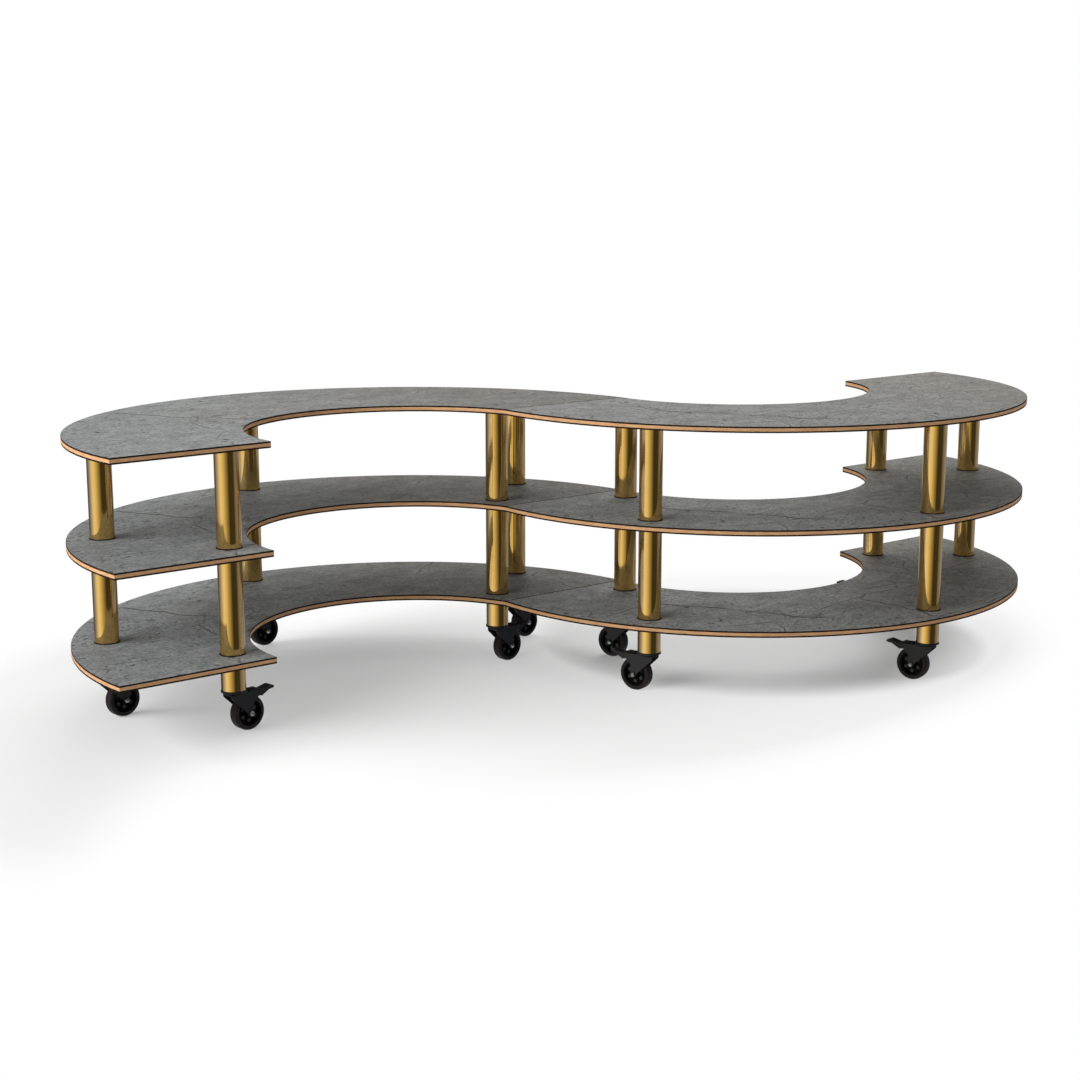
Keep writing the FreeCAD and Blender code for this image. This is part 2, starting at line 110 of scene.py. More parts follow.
def newMaterial(name, **sockets):
    material = bpy.data.materials.new(name)
    material.use_nodes = True
    tree = material.node_tree
    shader = tree.nodes["Principled BSDF"]
    for key, value in sockets.items():
        shader.inputs[key.replace("_", " ")].default_value = value
    return material, tree, shader


# shared effects

arrisReach = (0.995, 0.9)    # cosine between the rounded and the flat normal, on a flat and on a corner


def makeArris():
    # how near a point lies to a sharp edge, 0 on a flat and 1 on the corner
    group, given, result = newGroup("arris", [("Radius", "Float", 0.001)],
                                    [("Mask", "Float"), ("Normal", "Vector")])
    rounded = addNode(group, "Bevel", {"Radius": given["Radius"]}, samples=6).outputs[0]
    flat = addNode(group, "NewGeometry").outputs["True Normal"]
    facing = addNode(group, "VectorMath", {0: rounded, 1: flat}, operation="DOT_PRODUCT").outputs["Value"]
    group.links.new(ramp(group, facing, *arrisReach), result["Mask"])
    group.links.new(rounded, result["Normal"])
    return group


def makeGrain():
    # fine two-scale speckle for paint, rubber and moulded plastic
    group, given, result = newGroup("grain", [("Size", "Float", 0.001), ("Patch Size", "Float", 0.02)],
                                    [("Speckle", "Float"), ("Patches", "Float")])
    place = addNode(group, "TexCoord").outputs["Object"]
    speckle = noise(group, place, calc(group, "DIVIDE", 1.0, given["Size"]), 3.0)
    patches = noise(group, place, calc(group, "DIVIDE", 1.0, given["Patch Size"]), 5.0)
    group.links.new(speckle, result["Speckle"])
    group.links.new(patches, result["Patches"])
    return group


def wind(tree, place, steps):
    # the same place pushed about by noise fields, each step as (scale per metre, metres)
    for scale, amount in steps:
        field = addNode(tree, "TexNoise", {"Vector": place, "Scale": scale, "Detail": 4.0}).outputs[1]
        push = addNode(tree, "VectorMath", {0: field, 1: (0.5, 0.5, 0.5)}, operation="SUBTRACT").outputs[0]
        push = addNode(tree, "VectorMath", {0: push, 1: (amount, amount, 0)}, operation="MULTIPLY").outputs[0]
        place = addNode(tree, "VectorMath", {0: place, 1: push}, operation="ADD").outputs[0]
    return place


def seams(tree, place, scale):
    # distance to the nearest line of a branching net
    return addNode(tree, "TexVoronoi", {"Vector": place, "Scale": scale}, feature="DISTANCE_TO_EDGE",
                   voronoi_dimensions="2D").outputs["Distance"]


# noises as (scale per metre, detail, roughness, distortion), reaches as (low, high), tones as (dark, light)
slateSheet = {
    "turn": (0, 0, 0.5), "stretch": (0.85, 1.2, 0), "paleColor": gray(0.42), "darkColor": gray(0.05),
    "clouds": (1.6, 4.0), "cloudPull": 1.2, "warmReach": (0.0, 1.4), "wear": (1.3, 0.75),
    "mottle": (9.0, 10.0, 0.68, 0.4), "mottleReach": (0.36, 0.64), "mottleTone": (0.88, 1.12),
    "cleft": (42.0, 4.0, 0.62, 1.0), "cleftReach": (0.38, 0.62), "cleftTone": (0.85, 1.16),
    "speckle": (110.0, 3.0, 0.7), "speckleReach": (0.38, 0.62), "speckleTone": (0.74, 1.24),
    "field": (2.1, 5.0), "fieldReach": (0.42, 0.6),
    "flakes": (70.0, 3.0, 0.62, 0.9), "flakesReach": (0.58, 0.67), "flakesShare": (0.1, 0.4),
    "pits": (50.0, 3.0, 0.6, 1.1), "pitsReach": (0.59, 0.65), "pitsShare": (0.24, 0.7),
    "specks": (36.0, 2.0, 0.5, 0.6), "specksReach": (0.655, 0.69), "specksShare": 0.8,
    # hairlines of even width, so the winding stays gentle
    "winding": [(1.7, 0.24), (12.0, 0.022), (45.0, 0.006)],
    "longNet": 2.1, "longReach": (0.0105, 0.0045), "longShare": 0.88,
    "lipReach": (0.05, 0.012), "lipShare": 0.14, "lasting": (3.1, 5.0, 0.6), "lastingReach": (0.38, 0.54),
    "shortNet": 6.5, "shortReach": (0.03, 0.013), "shortShare": 0.6,
    "cracked": (4.6, 5.0, 0.6), "crackedReach": (0.48, 0.6),
    "shineReach": (0.3, 0.7), "shine": (0.62, 0.5), "speckleRelief": 0.3,
}


def makeStone():
    # split slate decor, the same sheet on every tier: cool and worn at one end of a unit, warm and smoother at
    # the other, with fine dark grain, long hairline splits with pale lips, short cracks, pits and flakes
    sheet = slateSheet
    group, given, result = newGroup(
        "slate", [("Cool", "Color", gray(0.2)), ("Warm", "Color", gray(0.2)), ("Centre", "Vector", (0, 0, 0))],
        [("Color", "Color"), ("Shine", "Float"), ("Height", "Float")])
    base = addNode(group, "TexCoord").outputs["Object"]
    local = addNode(group, "VectorMath", {0: base, 1: given["Centre"]}, operation="SUBTRACT").outputs[0]
    place = addNode(group, "Mapping", {"Vector": local, "Rotation": sheet["turn"],
                                       "Scale": sheet["stretch"]}).outputs[0]

    def patches(name):
        return ramp(group, noise(group, place, *sheet[name]), *sheet[name + "Reach"])

    along = addNode(group, "SeparateXYZ", {0: local}).outputs["X"]
    clouds = noise(group, place, *sheet["clouds"])
    end = calc(group, "ADD", along, calc(group, "MULTIPLY", clouds, sheet["cloudPull"]))
    warmth = ramp(group, end, *sheet["warmReach"])
    wear = ramp(group, warmth, 0, 1, *sheet["wear"])
    tone = mixColor(group, warmth, given["Cool"], given["Warm"])
    layers = {name: noise(group, place, *sheet[name]) for name in ("mottle", "cleft", "speckle")}
    for name, layer in layers.items():
        shade = ramp(group, layer, *sheet[name + "Reach"], *sheet[name + "Tone"])
        tone = mixColor(group, 1.0, tone, shade, "MULTIPLY")
    field = patches("field")
    flakes = calc(group, "MULTIPLY", patches("flakes"), ramp(group, field, 0, 1, *sheet["flakesShare"]))
    tone = mixColor(group, flakes, tone, sheet["paleColor"])
    pits = calc(group, "MULTIPLY", patches("pits"), ramp(group, field, 0, 1, *sheet["pitsShare"]))
    specks = calc(group, "MULTIPLY", patches("specks"), sheet["specksShare"])
    pits = calc(group, "MULTIPLY", calc(group, "MAXIMUM", pits, specks), wear)
    winding = wind(group, place, sheet["winding"])
    long, lasting = seams(group, winding, sheet["longNet"]), patches("lasting")
    split = calc(group, "MULTIPLY", ramp(group, long, *sheet["longReach"]), lasting)
    lip = calc(group, "MULTIPLY", ramp(group, long, *sheet["lipReach"]), lasting)
    tone = mixColor(group, calc(group, "MULTIPLY", lip, sheet["lipShare"]), tone, sheet["paleColor"])
    short = ramp(group, seams(group, winding, sheet["shortNet"]), *sheet["shortReach"])
    crack = calc(group, "MULTIPLY", short, patches("cracked"))
    dark = calc(group, "MAXIMUM", calc(group, "MULTIPLY", split, sheet["longShare"]),
                calc(group, "MAXIMUM", calc(group, "MULTIPLY", crack, sheet["shortShare"]), pits))
    group.links.new(mixColor(group, dark, tone, sheet["darkColor"]), result["Color"])
    group.links.new(ramp(group, layers["mottle"], *sheet["shineReach"], *sheet["shine"]), result["Shine"])
    relief = calc(group, "ADD", layers["mottle"], calc(group, "MULTIPLY", layers["speckle"], sheet["speckleRelief"]))
    group.links.new(calc(group, "SUBTRACT", relief, dark), result["Height"])
    return group


arris, grain, slate = makeArris(), makeGrain(), makeStone()
print("node groups:", arris.name, grain.name, slate.name)


# finishes

stoneLook = {
    "left": {"cool": (0.218, 0.226, 0.227, 1), "warm": (0.164, 0.159, 0.147, 1), "centre": (-0.757, 0, 0),
             "splitFrom": (-1.35, 0.86, 0), "splitTo": (-1.06, 0.36, 0)},
    "right": {"cool": (0.226, 0.229, 0.225, 1), "warm": (0.236, 0.228, 0.208, 1), "centre": (0.757, 0, 0),
              "splitFrom": (0.1, -0.28, 0), "splitTo": (0.43, -0.82, 0)},
    "edgeColor": (0.01, 0.0075, 0.006, 1), "arrisWidth": 0.003, "sideReach": (0.8, 0.4), "sheen": 0.16,
    "bump": 0.0005, "bumpStrength": 0.7, "jointAt": 0.074, "jointHalf": 0.0045, "jointReach": 0.27,
    "splitWinding": [(3.6, 0.13), (12.0, 0.022), (45.0, 0.006)], "splitHalf": 0.0092, "splitCore": 0.00368,
    "splitFade": (0.05, 0.08), "splitPatches": (9.0, 4.0), "splitReach": (0.36, 0.52), "splitShare": (0.45, 0.9),
}


def longSplit(tree, first, last):
    # one hairline that meanders from a first to a last point of the sheet, the same on every tier
    winding = wind(tree, objectPlace(tree, (1, 1, 0)), stoneLook["splitWinding"])
    first, last = Vector(first), Vector(last)
    length, way = (last - first).length, (last - first).normalized()
    side = way.cross(Vector((0, 0, 1)))
    offset = addNode(tree, "VectorMath", {0: winding, 1: first}, operation="SUBTRACT").outputs[0]
    along, across = (addNode(tree, "VectorMath", {0: offset, 1: axis}, operation="DOT_PRODUCT").outputs["Value"]
                     for axis in (way, side))
    line = ramp(tree, calc(tree, "ABSOLUTE", across), stoneLook["splitHalf"], stoneLook["splitCore"])
    fadeIn, fadeOut = stoneLook["splitFade"]
    ends = calc(tree, "MULTIPLY", ramp(tree, along, 0.0, fadeIn), ramp(tree, along, length, length - fadeOut))
    patches = noise(tree, winding, *stoneLook["splitPatches"])
    share = ramp(tree, patches, *stoneLook["splitReach"], *stoneLook["splitShare"])
    return calc(tree, "MULTIPLY", calc(tree, "MULTIPLY", line, ends), share)


def stoneFacing(unit):
    look = stoneLook[unit]
    material, tree, shader = newMaterial(f"slateFacing_{unit}", Specular_IOR_Level=stoneLook["sheen"])
    stone = useGroup(tree, slate, {"Cool": look["cool"], "Warm": look["warm"], "Centre": look["centre"]})
    split = longSplit(tree, look["splitFrom"], look["splitTo"])
    edge = useGroup(tree, arris, {"Radius": stoneLook["arrisWidth"]})
    flat = addNode(tree, "NewGeometry").outputs["True Normal"]
    upright = addNode(tree, "SeparateXYZ", {0: flat}).outputs["Z"]
    side = ramp(tree, calc(tree, "ABSOLUTE", upright), *stoneLook["sideReach"])
    # the sealed black edge shows wider where the two units meet
    place = addNode(tree, "SeparateXYZ", {0: objectPlace(tree)}).outputs
    away = calc(tree, "ABSOLUTE", calc(tree, "SUBTRACT", place["Y"], stoneLook["jointAt"]))
    joint = ramp(tree, away, stoneLook["jointHalf"], stoneLook["jointHalf"] / 2)
    within = calc(tree, "LESS_THAN", calc(tree, "ABSOLUTE", place["X"]), stoneLook["jointReach"])
    joint = calc(tree, "MULTIPLY", joint, within)
    dark = calc(tree, "MAXIMUM", joint, calc(tree, "MAXIMUM", side, edge["Mask"]))
    tone = mixColor(tree, split, stone["Color"], slateSheet["darkColor"])
    setInput(tree, shader.inputs["Base Color"], mixColor(tree, dark, tone, stoneLook["edgeColor"]))
    setInput(tree, shader.inputs["Roughness"], calc(tree, "MAXIMUM", stone["Shine"], dark))
    bump = addNode(tree, "Bump", {"Height": calc(tree, "SUBTRACT", stone["Height"], split),
                                  "Distance": stoneLook["bump"], "Strength": stoneLook["bumpStrength"]})
    setInput(tree, shader.inputs["Normal"], bump.outputs[0])
    return material


# stretches as features per metre along each axis
woodLook = {
    "pale": (0.6, 0.345, 0.17, 1), "dark": (0.41, 0.205, 0.09, 1), "rough": 0.62, "plyPitch": 0.0026, "plyShare": 0.3,
    "patches": (26, 26, 180), "patchReach": (0.35, 0.68), "patchShare": 0.55,
    "fibres": (240, 240, 1800), "fibreReach": (0.3, 0.7), "fibreTone": (0.86, 1.12),
    "bump": 0.0002, "bumpStrength": 0.5,
}


def plyEdge():
    material, tree, shader = newMaterial("plyEdge", Roughness=woodLook["rough"])
    patches = noise(tree, objectPlace(tree, woodLook["patches"]), 1.0)
    fibre = noise(tree, objectPlace(tree, woodLook["fibres"]), 1.0, 3.0, 0.7)
    height = addNode(tree, "SeparateXYZ", {0: objectPlace(tree)}).outputs["Z"]
    turn = calc(tree, "MULTIPLY", height, 2 * math.pi / woodLook["plyPitch"])
    plies = calc(tree, "ADD", calc(tree, "MULTIPLY", calc(tree, "SINE", turn), 0.5), 0.5)
    shade = calc(tree, "ADD",
                 calc(tree, "MULTIPLY", ramp(tree, patches, *woodLook["patchReach"]), woodLook["patchShare"]),
                 calc(tree, "MULTIPLY", plies, woodLook["plyShare"]))
    tone = mixColor(tree, shade, woodLook["pale"], woodLook["dark"])
    tone = mixColor(tree, 1.0, tone, ramp(tree, fibre, *woodLook["fibreReach"], *woodLook["fibreTone"]), "MULTIPLY")
    setInput(tree, shader.inputs["Base Color"], tone)
    bump = addNode(tree, "Bump", {"Height": calc(tree, "ADD", fibre, plies), "Distance": woodLook["bump"],
                                  "Strength": woodLook["bumpStrength"]})
    setInput(tree, shader.inputs["Normal"], bump.outputs[0])
    return material


brassLook = {
    "color": (0.86, 0.565, 0.2, 1), "tarnish": (0.66, 0.4, 0.11, 1),
    "drawLines": (420, 420, 5), "drawReach": (0.3, 0.7), "drawTone": (0.95, 1.03),
    "haze": (14.0, 5.0, 0.6), "hazeReach": (0.5, 0.8), "hazeShare": (0.0, 0.35),
    "smearReach": (0.35, 0.65), "rough": (0.05, 0.1), "bump": 0.00002, "bumpStrength": 0.25,
}


def polishedBrass():
    material, tree, shader = newMaterial("polishedBrass", Metallic=1.0)
    drawn = noise(tree, objectPlace(tree, brassLook["drawLines"]), 1.0, 4.0, 0.6)
    haze = noise(tree, objectPlace(tree), *brassLook["haze"])
    tone = mixColor(tree, ramp(tree, haze, *brassLook["hazeReach"], *brassLook["hazeShare"]),
                    brassLook["color"], brassLook["tarnish"])
    tone = mixColor(tree, 1.0, tone, ramp(tree, drawn, *brassLook["drawReach"], *brassLook["drawTone"]), "MULTIPLY")
    setInput(tree, shader.inputs["Base Color"], tone)
    smear = calc(tree, "ADD", calc(tree, "MULTIPLY", drawn, 0.5), calc(tree, "MULTIPLY", haze, 0.5))
    setInput(tree, shader.inputs["Roughness"], ramp(tree, smear, *brassLook["smearReach"], *brassLook["rough"]))
    bump = addNode(tree, "Bump", {"Height": drawn, "Distance": brassLook["bump"],
                                  "Strength": brassLook["bumpStrength"]})
    setInput(tree, shader.inputs["Normal"], bump.outputs[0])
    return material


# speckle and patch sizes in metres, rough as (low, high)
blackLook = {
    "gasketRubber": {"color": (0.012, 0.008, 0.006, 1), "light": (0.022, 0.015, 0.011, 1), "rough": (0.55, 0.75),
                     "sheen": 0.25, "speckle": 0.0007, "patch": 0.012, "arris": 0.0006, "bump": 0.00012},
    "casterPaint": {"color": (0.017, 0.017, 0.0175, 1), "light": (0.034, 0.034, 0.035, 1), "rough": (0.36, 0.52),
                    "sheen": 0.3, "speckle": 0.0011, "patch": 0.02, "arris": 0.0007, "bump": 0.00006},
    "wheelPlastic": {"color": (0.0015, 0.0015, 0.0015, 1), "light": (0.004, 0.0038, 0.0036, 1), "rough": (0.45, 0.6),
                     "sheen": 0.06, "speckle": 0.0009, "patch": 0.015, "arris": 0.0006, "bump": 0.00006},
    "studPlastic": {"color": (0.03, 0.03, 0.0305, 1), "light": (0.05, 0.05, 0.05, 1), "rough": (0.4, 0.55),
                    "sheen": 0.25, "speckle": 0.0007, "patch": 0.006, "arris": 0.0006, "bump": 0.00005},
    # the tyre's wide arris and pale light colour paint a highlight along its shoulder
    "tyreRubber": {"color": (0.012, 0.009, 0.0083, 1), "light": (0.045, 0.038, 0.035, 1), "rough": (0.5, 0.68),
                   "sheen": 0.22, "speckle": 0.0008, "patch": 0.018, "arris": 0.002, "bump": 0.0001},
    "pedalPlastic": {"color": (0.012, 0.012, 0.0125, 1), "light": (0.028, 0.028, 0.029, 1), "rough": (0.38, 0.54),
                     "sheen": 0.3, "speckle": 0.001, "patch": 0.016, "arris": 0.0012, "bump": 0.00008},
}

# how far patches and speckle show on all of them
blackWear = {"edgeReach": (0.35, 0.65), "scuffReach": (0.55, 0.8), "scuffShare": (0.0, 0.5), "grainReach": (0.3, 0.7),
             "speckleTone": (0.8, 1.2), "bumpStrength": 0.5}


def blackFinish(name):
    look, wear = blackLook[name], blackWear
    material, tree, shader = newMaterial(name, Specular_IOR_Level=look["sheen"])
    surface = useGroup(tree, grain, {"Size": look["speckle"], "Patch Size": look["patch"]})
    edge = useGroup(tree, arris, {"Radius": look["arris"]})
    # edges lighten in patches: real wear on paint and plastic, and on the tyre a painted highlight along its shoulder
    edgeWearAndHighlight = calc(tree, "MULTIPLY", edge["Mask"], ramp(tree, surface["Patches"], *wear["edgeReach"]))
    scuffs = ramp(tree, surface["Patches"], *wear["scuffReach"], *wear["scuffShare"])
    tone = mixColor(tree, calc(tree, "MAXIMUM", edgeWearAndHighlight, scuffs), look["color"], look["light"])
    speckle = ramp(tree, surface["Speckle"], *wear["grainReach"], *wear["speckleTone"])
    setInput(tree, shader.inputs["Base Color"], mixColor(tree, 1.0, tone, speckle, "MULTIPLY"))
    setInput(tree, shader.inputs["Roughness"], ramp(tree, surface["Patches"], *wear["grainReach"], *look["rough"]))
    bump = addNode(tree, "Bump", {"Height": surface["Speckle"], "Distance": look["bump"],
                                  "Strength": wear["bumpStrength"], "Normal": edge["Normal"]})
    setInput(tree, shader.inputs["Normal"], bump.outputs[0])
    return material


steelLook = {
    "darkSteel": {"color": (0.045, 0.044, 0.043, 1), "light": (0.12, 0.118, 0.115, 1), "rough": (0.34, 0.5)},
    "zincSteel": {"color": (0.5, 0.5, 0.5, 1), "light": (0.72, 0.72, 0.71, 1), "rough": (0.18, 0.32)},
    "axleSteel": {"color": (0.26, 0.26, 0.26, 1), "light": (0.44, 0.44, 0.44, 1), "rough": (0.28, 0.42)},
}

# sizes in metres, the same on all the steels
steelWear = {"speckle": 0.0006, "patch": 0.006, "arris": 0.0006, "litReach": (0.4, 0.75), "roughReach": (0.3, 0.7),
             "bump": 0.00003, "bumpStrength": 0.4}


def turnedSteel(name):
    look, wear = steelLook[name], steelWear
    material, tree, shader = newMaterial(name, Metallic=1.0)
    surface = useGroup(tree, grain, {"Size": wear["speckle"], "Patch Size": wear["patch"]})
    edge = useGroup(tree, arris, {"Radius": wear["arris"]})
    lit = calc(tree, "MAXIMUM", edge["Mask"], ramp(tree, surface["Patches"], *wear["litReach"]))
    setInput(tree, shader.inputs["Base Color"], mixColor(tree, lit, look["color"], look["light"]))
    setInput(tree, shader.inputs["Roughness"], ramp(tree, surface["Patches"], *wear["roughReach"], *look["rough"]))
    bump = addNode(tree, "Bump", {"Height": surface["Speckle"], "Distance": wear["bump"],
                                  "Strength": wear["bumpStrength"], "Normal": edge["Normal"]})
    setInput(tree, shader.inputs["Normal"], bump.outputs[0])
    return material


def dress(material, *names):
    for name in names:
        for holder in nodes[name].material_slots:
            holder.material = material


for unit in ("left", "right"):
    dress(stoneFacing(unit), f"{unit}_upper_facings", f"{unit}_lower_facings")
dress(plyEdge(), *[f"{unit}_{tier}_shelf_core" for unit in ("left", "right") for tier in ("top", "middle", "bottom")])
dress(polishedBrass(), "upper_posts", "lower_posts", "leg_tubes")
blackFinishes = {name: blackFinish(name) for name in blackLook}
steels = {name: turnedSteel(name) for name in steelLook}
dress(blackFinishes["gasketRubber"], "post_gaskets")
dress(steels["darkSteel"], "tie_rods")
dress(steels["zincSteel"], "caster_stems")
dress(blackFinishes["casterPaint"], "caster_plates", "foot_plugs", *[f"{caster}_fork" for caster in casters])
dress(blackFinishes["wheelPlastic"], *[f"{caster}_wheel_core" for caster in casters])
dress(blackFinishes["tyreRubber"], *[f"{caster}_tyre" for caster in casters])
dress(blackFinishes["pedalPlastic"], *[f"{caster}_pedal" for caster in casters])
used = {holder.material.name for node in nodes.values() for holder in node.material_slots}
print("finishes on the frame:", len(used))


# dished studs moulded over the holes of each wheel's web, on both sides

webStud = {"count": 6, "ring": 0.02475, "webFace": 0.006, "diameter": 0.0125, "height": 0.0034, "sunk": 0.001,
           "sides": 24, "lip": 0.0025, "dish": 0.0009, "rim": 0.0008}
upFacing, sharpAngle, smoothAngle = 0.9, 0.7, 0.6    # a cosine, then radians


def selectTop(piece):
    bpy.ops.object.mode_set(mode="EDIT")
    bpy.ops.mesh.select_mode(type="FACE")
    bpy.ops.mesh.select_all(action="DESELECT")
    bpy.ops.object.mode_set(mode="OBJECT")
    for face in piece.data.polygons:
        face.select = face.normal.z > upFacing
    bpy.ops.object.mode_set(mode="EDIT")


def closeUp(piece, rim, segments):
    bpy.ops.mesh.select_all(action="SELECT")
    bpy.ops.mesh.normals_make_consistent(inside=False)
    bpy.ops.object.mode_set(mode="OBJECT")
    bevel = piece.modifiers.new("rim", "BEVEL")
    bevel.width, bevel.segments = rim, segments
    bevel.limit_method, bevel.angle_limit = "ANGLE", sharpAngle
    bpy.ops.object.modifier_apply(modifier=bevel.name)
    bpy.ops.object.shade_smooth_by_angle(angle=smoothAngle)


def addWebStud():
    bpy.ops.object.select_all(action="DESELECT")
    radius, depth = webStud["diameter"] / 2, webStud["height"] + webStud["sunk"]
    bpy.ops.mesh.primitive_cylinder_add(vertices=webStud["sides"], radius=radius, depth=depth,
                                        location=(0, 0, depth / 2 - webStud["sunk"]))
    stud = bpy.context.active_object
    bpy.ops.object.transform_apply(location=True)
    selectTop(stud)
    bpy.ops.mesh.inset(thickness=webStud["lip"])
    bpy.ops.transform.translate(value=(0, 0, -webStud["dish"]))
    closeUp(stud, webStud["rim"], 2)
    return stud


def copyTo(model, place, way):
    twin = model.copy()
    twin.data = model.data.copy()
    bpy.context.collection.objects.link(twin)
    twin.data.transform(Matrix.Translation(place) @ way.to_track_quat("Z", "X").to_matrix().to_4x4())
    return twin


def joinAs(name, pieces, material, body):
    bpy.ops.object.select_all(action="DESELECT")
    for piece in pieces:
        piece.select_set(True)
    bpy.context.view_layer.objects.active = pieces[0]
    bpy.ops.object.join()
    joined = bpy.context.active_object
    joined.name = joined.data.name = name
    joined.data.materials.clear()
    joined.data.materials.append(material)
    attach(joined, body)


def putWebStuds(model, caster):
    roll = joints[f"{caster}_roll"]
    centre, axis = Vector(roll["pos_m"]), Vector(roll["axis"]).normalized()
    studs = []
    for index in range(webStud["count"]):
        spoke = Matrix.Rotation(2 * math.pi * index / webStud["count"], 3, axis) @ Vector((0, 0, webStud["ring"]))
        for way in (axis, -axis):
            studs.append(copyTo(model, centre + spoke + way * webStud["webFace"], way))
    joinAs(f"{caster}_web_studs", studs, blackFinishes["studPlastic"], f"{caster}_wheel")


studModel = addWebStud()
for caster in casters:
    putWebStuds(studModel, caster)
bpy.data.objects.remove(studModel)
print("web studs:", len(casters) * webStud["count"] * 2)


# bright domed caps pressed over both ends of each wheel axle

axleCap = {"diameter": 0.0154, "height": 0.0049, "sides": 48, "rim": 0.0006, "forkFace": 0.0235,
           "ringWidth": 0.00154, "rises": (0.00156, 0.0012, 0.0008, 0.0003)}


def addAxleCap():
    bpy.ops.object.select_all(action="DESELECT")
    radius, height = axleCap["diameter"] / 2, axleCap["height"]
    bpy.ops.mesh.primitive_cylinder_add(vertices=axleCap["sides"], radius=radius, depth=height,
                                        location=(0, 0, height / 2))
    cap = bpy.context.active_object
    bpy.ops.object.transform_apply(location=True)
    selectTop(cap)
    for rise in axleCap["rises"]:    # ever flatter rings make the dome
        bpy.ops.mesh.inset(thickness=axleCap["ringWidth"])
        bpy.ops.transform.translate(value=(0, 0, rise))
    closeUp(cap, axleCap["rim"], 3)
    return cap


def putAxleCaps(model, caster):
    roll = joints[f"{caster}_roll"]
    centre, axis = Vector(roll["pos_m"]), Vector(roll["axis"]).normalized()
    ends = [copyTo(model, centre + way * axleCap["forkFace"], way) for way in (axis, -axis)]
    joinAs(f"{caster}_axle_caps", ends, steels["axleSteel"], f"{caster}_swivel_frame")


capModel = addAxleCap()
for caster in casters:
    putAxleCaps(capModel, caster)
bpy.data.objects.remove(capModel)
print("axle caps:", len(casters) * 2)


# studio: pale floor, white surroundings, soft lamps and a graded tent that only reflections see

studio = {
    # the floor is white to the eye, but throws back less; its own glow rises outward and to the right,
    # and stays low under the right unit and at the left end
    "floorSize": 60.0, "floorColor": gray(0.96), "floorShade": gray(0.72), "floorBounce": gray(0.5),
    "acrossWay": (0.774, -0.633, 0), "glowAcross": (-1.3, 1.9), "floorGlow": (0.28, 0.8),
    "glowSquash": (0.62, 1, 1), "glowReach": (0.72, 1.35),
    "shadeCentre": (0.73, -0.1, 0), "shadeReach": (0.66, 0.98), "shadeGlow": 0.16,
    "leftReach": (-0.9, -1.5), "leftDim": 0.8, "whiteReach": (1.3, 1.75), "ambient": 0.41,
    "lamps": [
        {"name": "back", "place": (3.0, 3.6, 4.6), "aim": (0, 0, 0.4), "size": (5.0, 4.0), "power": 205},
        {"name": "keyLeft", "place": (-7.2, 0.9, 3.2), "aim": (0, 0, 0.5), "size": (7.0, 4.0), "power": 690},
        {"name": "fillFront", "place": (-2.0, -6.0, 2.6), "aim": (0, 0, 0.5), "size": (4.0, 3.0), "power": 14},
        {"name": "fillRight", "place": (3.0, -3.4, 0.6), "aim": (1.4, -0.6, 0.4), "size": (1.2, 0.8), "power": 18},
    ],
    "tentRadius": 40.0, "tentHeight": 60.0, "tentFacing": 229.5,
    # colour of the tent by the angle from the facing, to the right
    "tent": [(-180, (0.75, 0.7, 0.6)), (-165, (0.6, 0.6, 0.5)), (-150, (0.1, 0.1, 0.1)), (-118, (0.1, 0.12, 0.2)),
             (-90, (0.35, 0.4, 0.6)), (-57, (0.9, 0.9, 0.85)), (-46, (0.95, 0.9, 0.8)), (-30, (0.8, 0.75, 0.5)),
             (2, (0.33, 0.3, 0.18)), (24, (0.05, 0.045, 0.03)), (66, (0.05, 0.05, 0.035)), (80, (0.2, 0.2, 0.25)),
             (130, (0.34, 0.4, 0.58)), (150, (0.14, 0.14, 0.16)), (165, (0.5, 0.5, 0.45))],
}


def addFloor():
    bpy.ops.object.select_all(action="DESELECT")
    bpy.ops.mesh.primitive_plane_add(size=studio["floorSize"])
    floor = bpy.context.active_object
    floor.name = "floor"
    floor.visible_glossy = False    # polished tubes see the tent all the way down
    material, tree, shader = newMaterial("paleFloor", Roughness=1.0, Specular_IOR_Level=0.0)
    place = addNode(tree, "TexCoord").outputs["Object"]
    squashed = objectPlace(tree, studio["glowSquash"])
    distance = addNode(tree, "VectorMath", {0: squashed}, operation="LENGTH").outputs["Value"]
    across = addNode(tree, "VectorMath", {0: place, 1: studio["acrossWay"]}, operation="DOT_PRODUCT").outputs["Value"]
    under = addNode(tree, "VectorMath", {0: place, 1: studio["shadeCentre"]}, operation="DISTANCE").outputs["Value"]
    near = calc(tree, "MINIMUM", ramp(tree, across, *studio["glowAcross"], *studio["floorGlow"]),
                 ramp(tree, under, *studio["shadeReach"], studio["shadeGlow"], 1.0))
    leftEnd = ramp(tree, across, *studio["leftReach"])
    outer = calc(tree, "MULTIPLY", ramp(tree, distance, *studio["glowReach"]),
                  ramp(tree, leftEnd, 0, 1, 1.0, 1.0 - studio["leftDim"]))
    glow = calc(tree, "MAXIMUM", near, calc(tree, "MAXIMUM", outer, ramp(tree, distance, *studio["whiteReach"])))
    rays = addNode(tree, "LightPath").outputs
    seen = calc(tree, "MAXIMUM", rays["Is Camera Ray"],
                 calc(tree, "MAXIMUM", rays["Is Glossy Ray"], rays["Is Transmission Ray"]))
    # painted shade: toward the left end the floor's own colour darkens
    tone = mixColor(tree, leftEnd, studio["floorColor"], studio["floorShade"])
    setInput(tree, shader.inputs["Base Color"], mixColor(tree, seen, studio["floorBounce"], tone))
    white = addNode(tree, "Emission", {"Color": gray(1.0), "Strength": 1.0})
    blend = addNode(tree, "MixShader", {0: calc(tree, "MULTIPLY", glow, seen), 1: shader.outputs[0],
                                        2: white.outputs[0]})
    tree.links.new(blend.outputs[0], tree.nodes["Material Output"].inputs["Surface"])
    floor.data.materials.append(material)


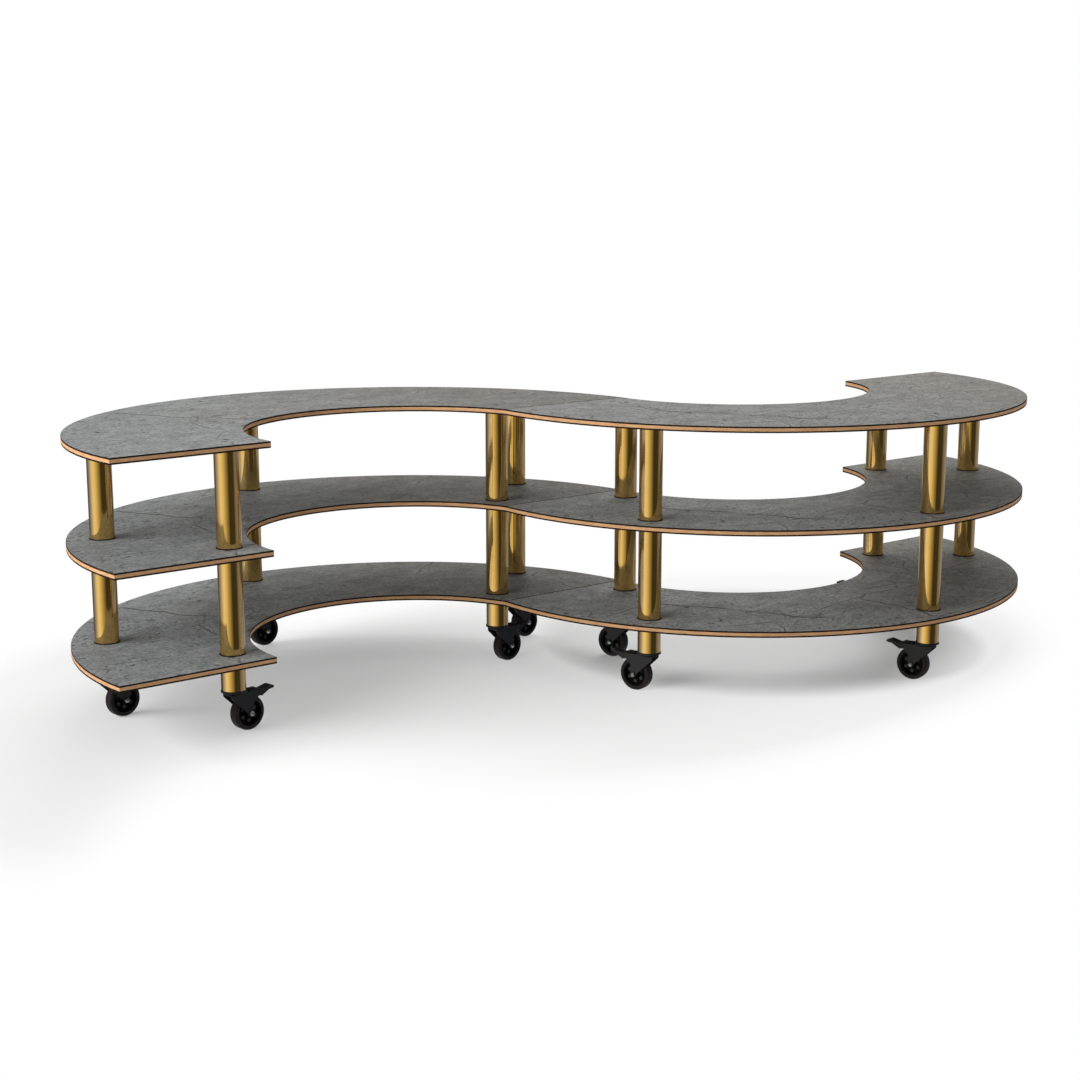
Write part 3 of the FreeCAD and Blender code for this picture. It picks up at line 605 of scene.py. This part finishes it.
def addTent():
    bpy.ops.object.select_all(action="DESELECT")
    bpy.ops.mesh.primitive_cylinder_add(vertices=96, radius=studio["tentRadius"], depth=studio["tentHeight"],
                                        end_fill_type="NOTHING")
    tent = bpy.context.active_object
    tent.name = "tent"
    material = bpy.data.materials.new("tentCloth")
    material.use_nodes = True
    tree = material.node_tree
    tree.nodes.remove(tree.nodes["Principled BSDF"])
    place = addNode(tree, "SeparateXYZ", {0: addNode(tree, "TexCoord").outputs["Object"]}).outputs
    bearing = calc(tree, "ARCTAN2", place["Y"], place["X"])
    turned = calc(tree, "SUBTRACT", bearing, math.radians(studio["tentFacing"] - 180))
    share = calc(tree, "DIVIDE", turned, 2 * math.pi)
    shade = addNode(tree, "ValToRGB", {0: calc(tree, "FRACT", share)})
    stops = shade.color_ramp.elements
    while len(stops) < len(studio["tent"]):
        stops.new(1.0)
    for stop, (angle, tint) in zip(stops, studio["tent"]):
        stop.position, stop.color = (angle + 180) / 360, (*tint, 1)
    glow = addNode(tree, "Emission", {"Color": shade.outputs[0], "Strength": 1.0})
    tree.links.new(glow.outputs[0], tree.nodes["Material Output"].inputs["Surface"])
    tent.data.materials.append(material)
    tent.visible_camera = tent.visible_diffuse = tent.visible_shadow = tent.visible_transmission = False


def addLamp(lamp):
    place, aim = Vector(lamp["place"]), Vector(lamp["aim"])
    bpy.ops.object.light_add(type="AREA", location=place,
                             rotation=(aim - place).to_track_quat("-Z", "Y").to_euler())
    light = bpy.context.active_object
    light.name = lamp["name"]
    light.data.shape = "RECTANGLE"
    light.data.size, light.data.size_y = lamp["size"]
    light.data.energy = lamp["power"]
    light.visible_glossy = False
    light.visible_camera = False


def lightWorld():
    world = bpy.context.scene.world or bpy.data.worlds.new("surroundings")
    bpy.context.scene.world = world
    world.use_nodes = True
    tree = world.node_tree
    tree.nodes.clear()
    rays = addNode(tree, "LightPath").outputs
    seen = calc(tree, "MAXIMUM", rays["Is Camera Ray"],
                 calc(tree, "MAXIMUM", rays["Is Glossy Ray"], rays["Is Transmission Ray"]))
    strength = addNode(tree, "MapRange", {"Value": seen, "To Min": studio["ambient"], "To Max": 1.0}).outputs[0]
    background = addNode(tree, "Background", {"Color": gray(1.0), "Strength": strength})
    tree.links.new(background.outputs[0], addNode(tree, "OutputWorld").inputs["Surface"])


addFloor()
addTent()
for lamp in studio["lamps"]:
    addLamp(lamp)
lightWorld()
print("studio:", len(studio["lamps"]), "lamps and a tent of", len(studio["tent"]), "tones")


# camera at the photograph's viewing angle

viewpoint = {"place": (-4.102, -4.81, 1.69), "turn": (78.772, 0.0, -39.254), "lens": 62.652, "sensor": 36.0,
             "farthest": 200.0}

bpy.ops.object.camera_add(location=viewpoint["place"],
                          rotation=[math.radians(angle) for angle in viewpoint["turn"]])
camera = bpy.context.active_object
camera.data.lens = viewpoint["lens"]
camera.data.sensor_width = viewpoint["sensor"]
camera.data.clip_end = viewpoint["farthest"]
bpy.context.scene.camera = camera
bpy.context.scene.view_settings.view_transform = "Standard"
print("camera set")
